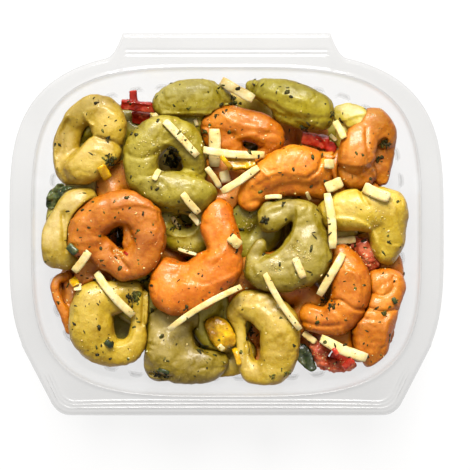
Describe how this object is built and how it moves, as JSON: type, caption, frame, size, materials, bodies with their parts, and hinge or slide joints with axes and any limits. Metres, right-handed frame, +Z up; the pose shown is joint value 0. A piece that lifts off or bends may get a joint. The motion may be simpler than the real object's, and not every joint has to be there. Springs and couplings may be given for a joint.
{
  "type": "tortellini salad in clear tray",
  "caption": "Three-colour cheese tortellini salad with peppers, tomato and leaf scraps, in a clear hinged plastic deli tray whose lid is off.",
  "frame": {"origin": "under the middle of the tray's box, on the surface it stands on", "axes": "+X right along the tray's longer side, +Y to the back where the hinge strip is, +Z up"},
  "size_m": [0.1438, 0.1264, 0.05],
  "materials": {
    "clear_plastic": "clear, glossy, thermoformed",
    "dough_egg": "cooked egg pasta, oily",
    "dough_spinach": "cooked spinach pasta, oily",
    "dough_tomato": "cooked tomato pasta, oily",
    "red_pepper": "wet pepper flesh",
    "yellow_pepper": "wet pepper flesh",
    "tomato_piece": "wet, crumbly tomato flesh",
    "spinach_leaf": "wilted leaf",
    "cheese": "shredded hard cheese",
    "herbs": "dried and chopped herbs"
  },
  "bodies": {
    "root": {"tray": "clear_plastic", "lower_tortellini": "dough_tomato", "egg_below_left": "dough_egg", "tomato_below_middle": "dough_tomato", "spinach_below_left": "dough_spinach", "spinach_below_middle": "dough_spinach", "egg_below_front": "dough_egg", "tomato_left_edge": "dough_tomato", "egg_back_corner": "dough_egg", "spinach_back_left": "dough_spinach", "egg_left_edge": "dough_egg", "tomato_back": "dough_tomato", "egg_back_left": "dough_egg", "spinach_front": "dough_spinach", "egg_front_left": "dough_egg", "egg_front": "dough_egg", "tomato_right_edge": "dough_tomato", "tomato_back_corner": "dough_tomato", "egg_right": "dough_egg", "tomato_right": "dough_tomato", "spinach_back_right": "dough_spinach", "spinach_middle": "dough_spinach", "tomato_middle": "dough_tomato", "tomato_left": "dough_tomato", "spinach_left": "dough_spinach", "tomato_middle_back": "dough_tomato", "red_pepper_crossing": "red_pepper", "red_pepper_back_left": "red_pepper", "red_pepper_back_right": "red_pepper", "red_pepper_front": "red_pepper", "red_pepper_right_edge": "red_pepper", "yellow_pepper_front": "yellow_pepper", "yellow_pepper_middle": "yellow_pepper", "tomato_piece_right": "tomato_piece", "tomato_piece_front": "tomato_piece", "spinach_leaf_left": "spinach_leaf", "spinach_leaf_front": "spinach_leaf"}
  },
  "joints": []
}
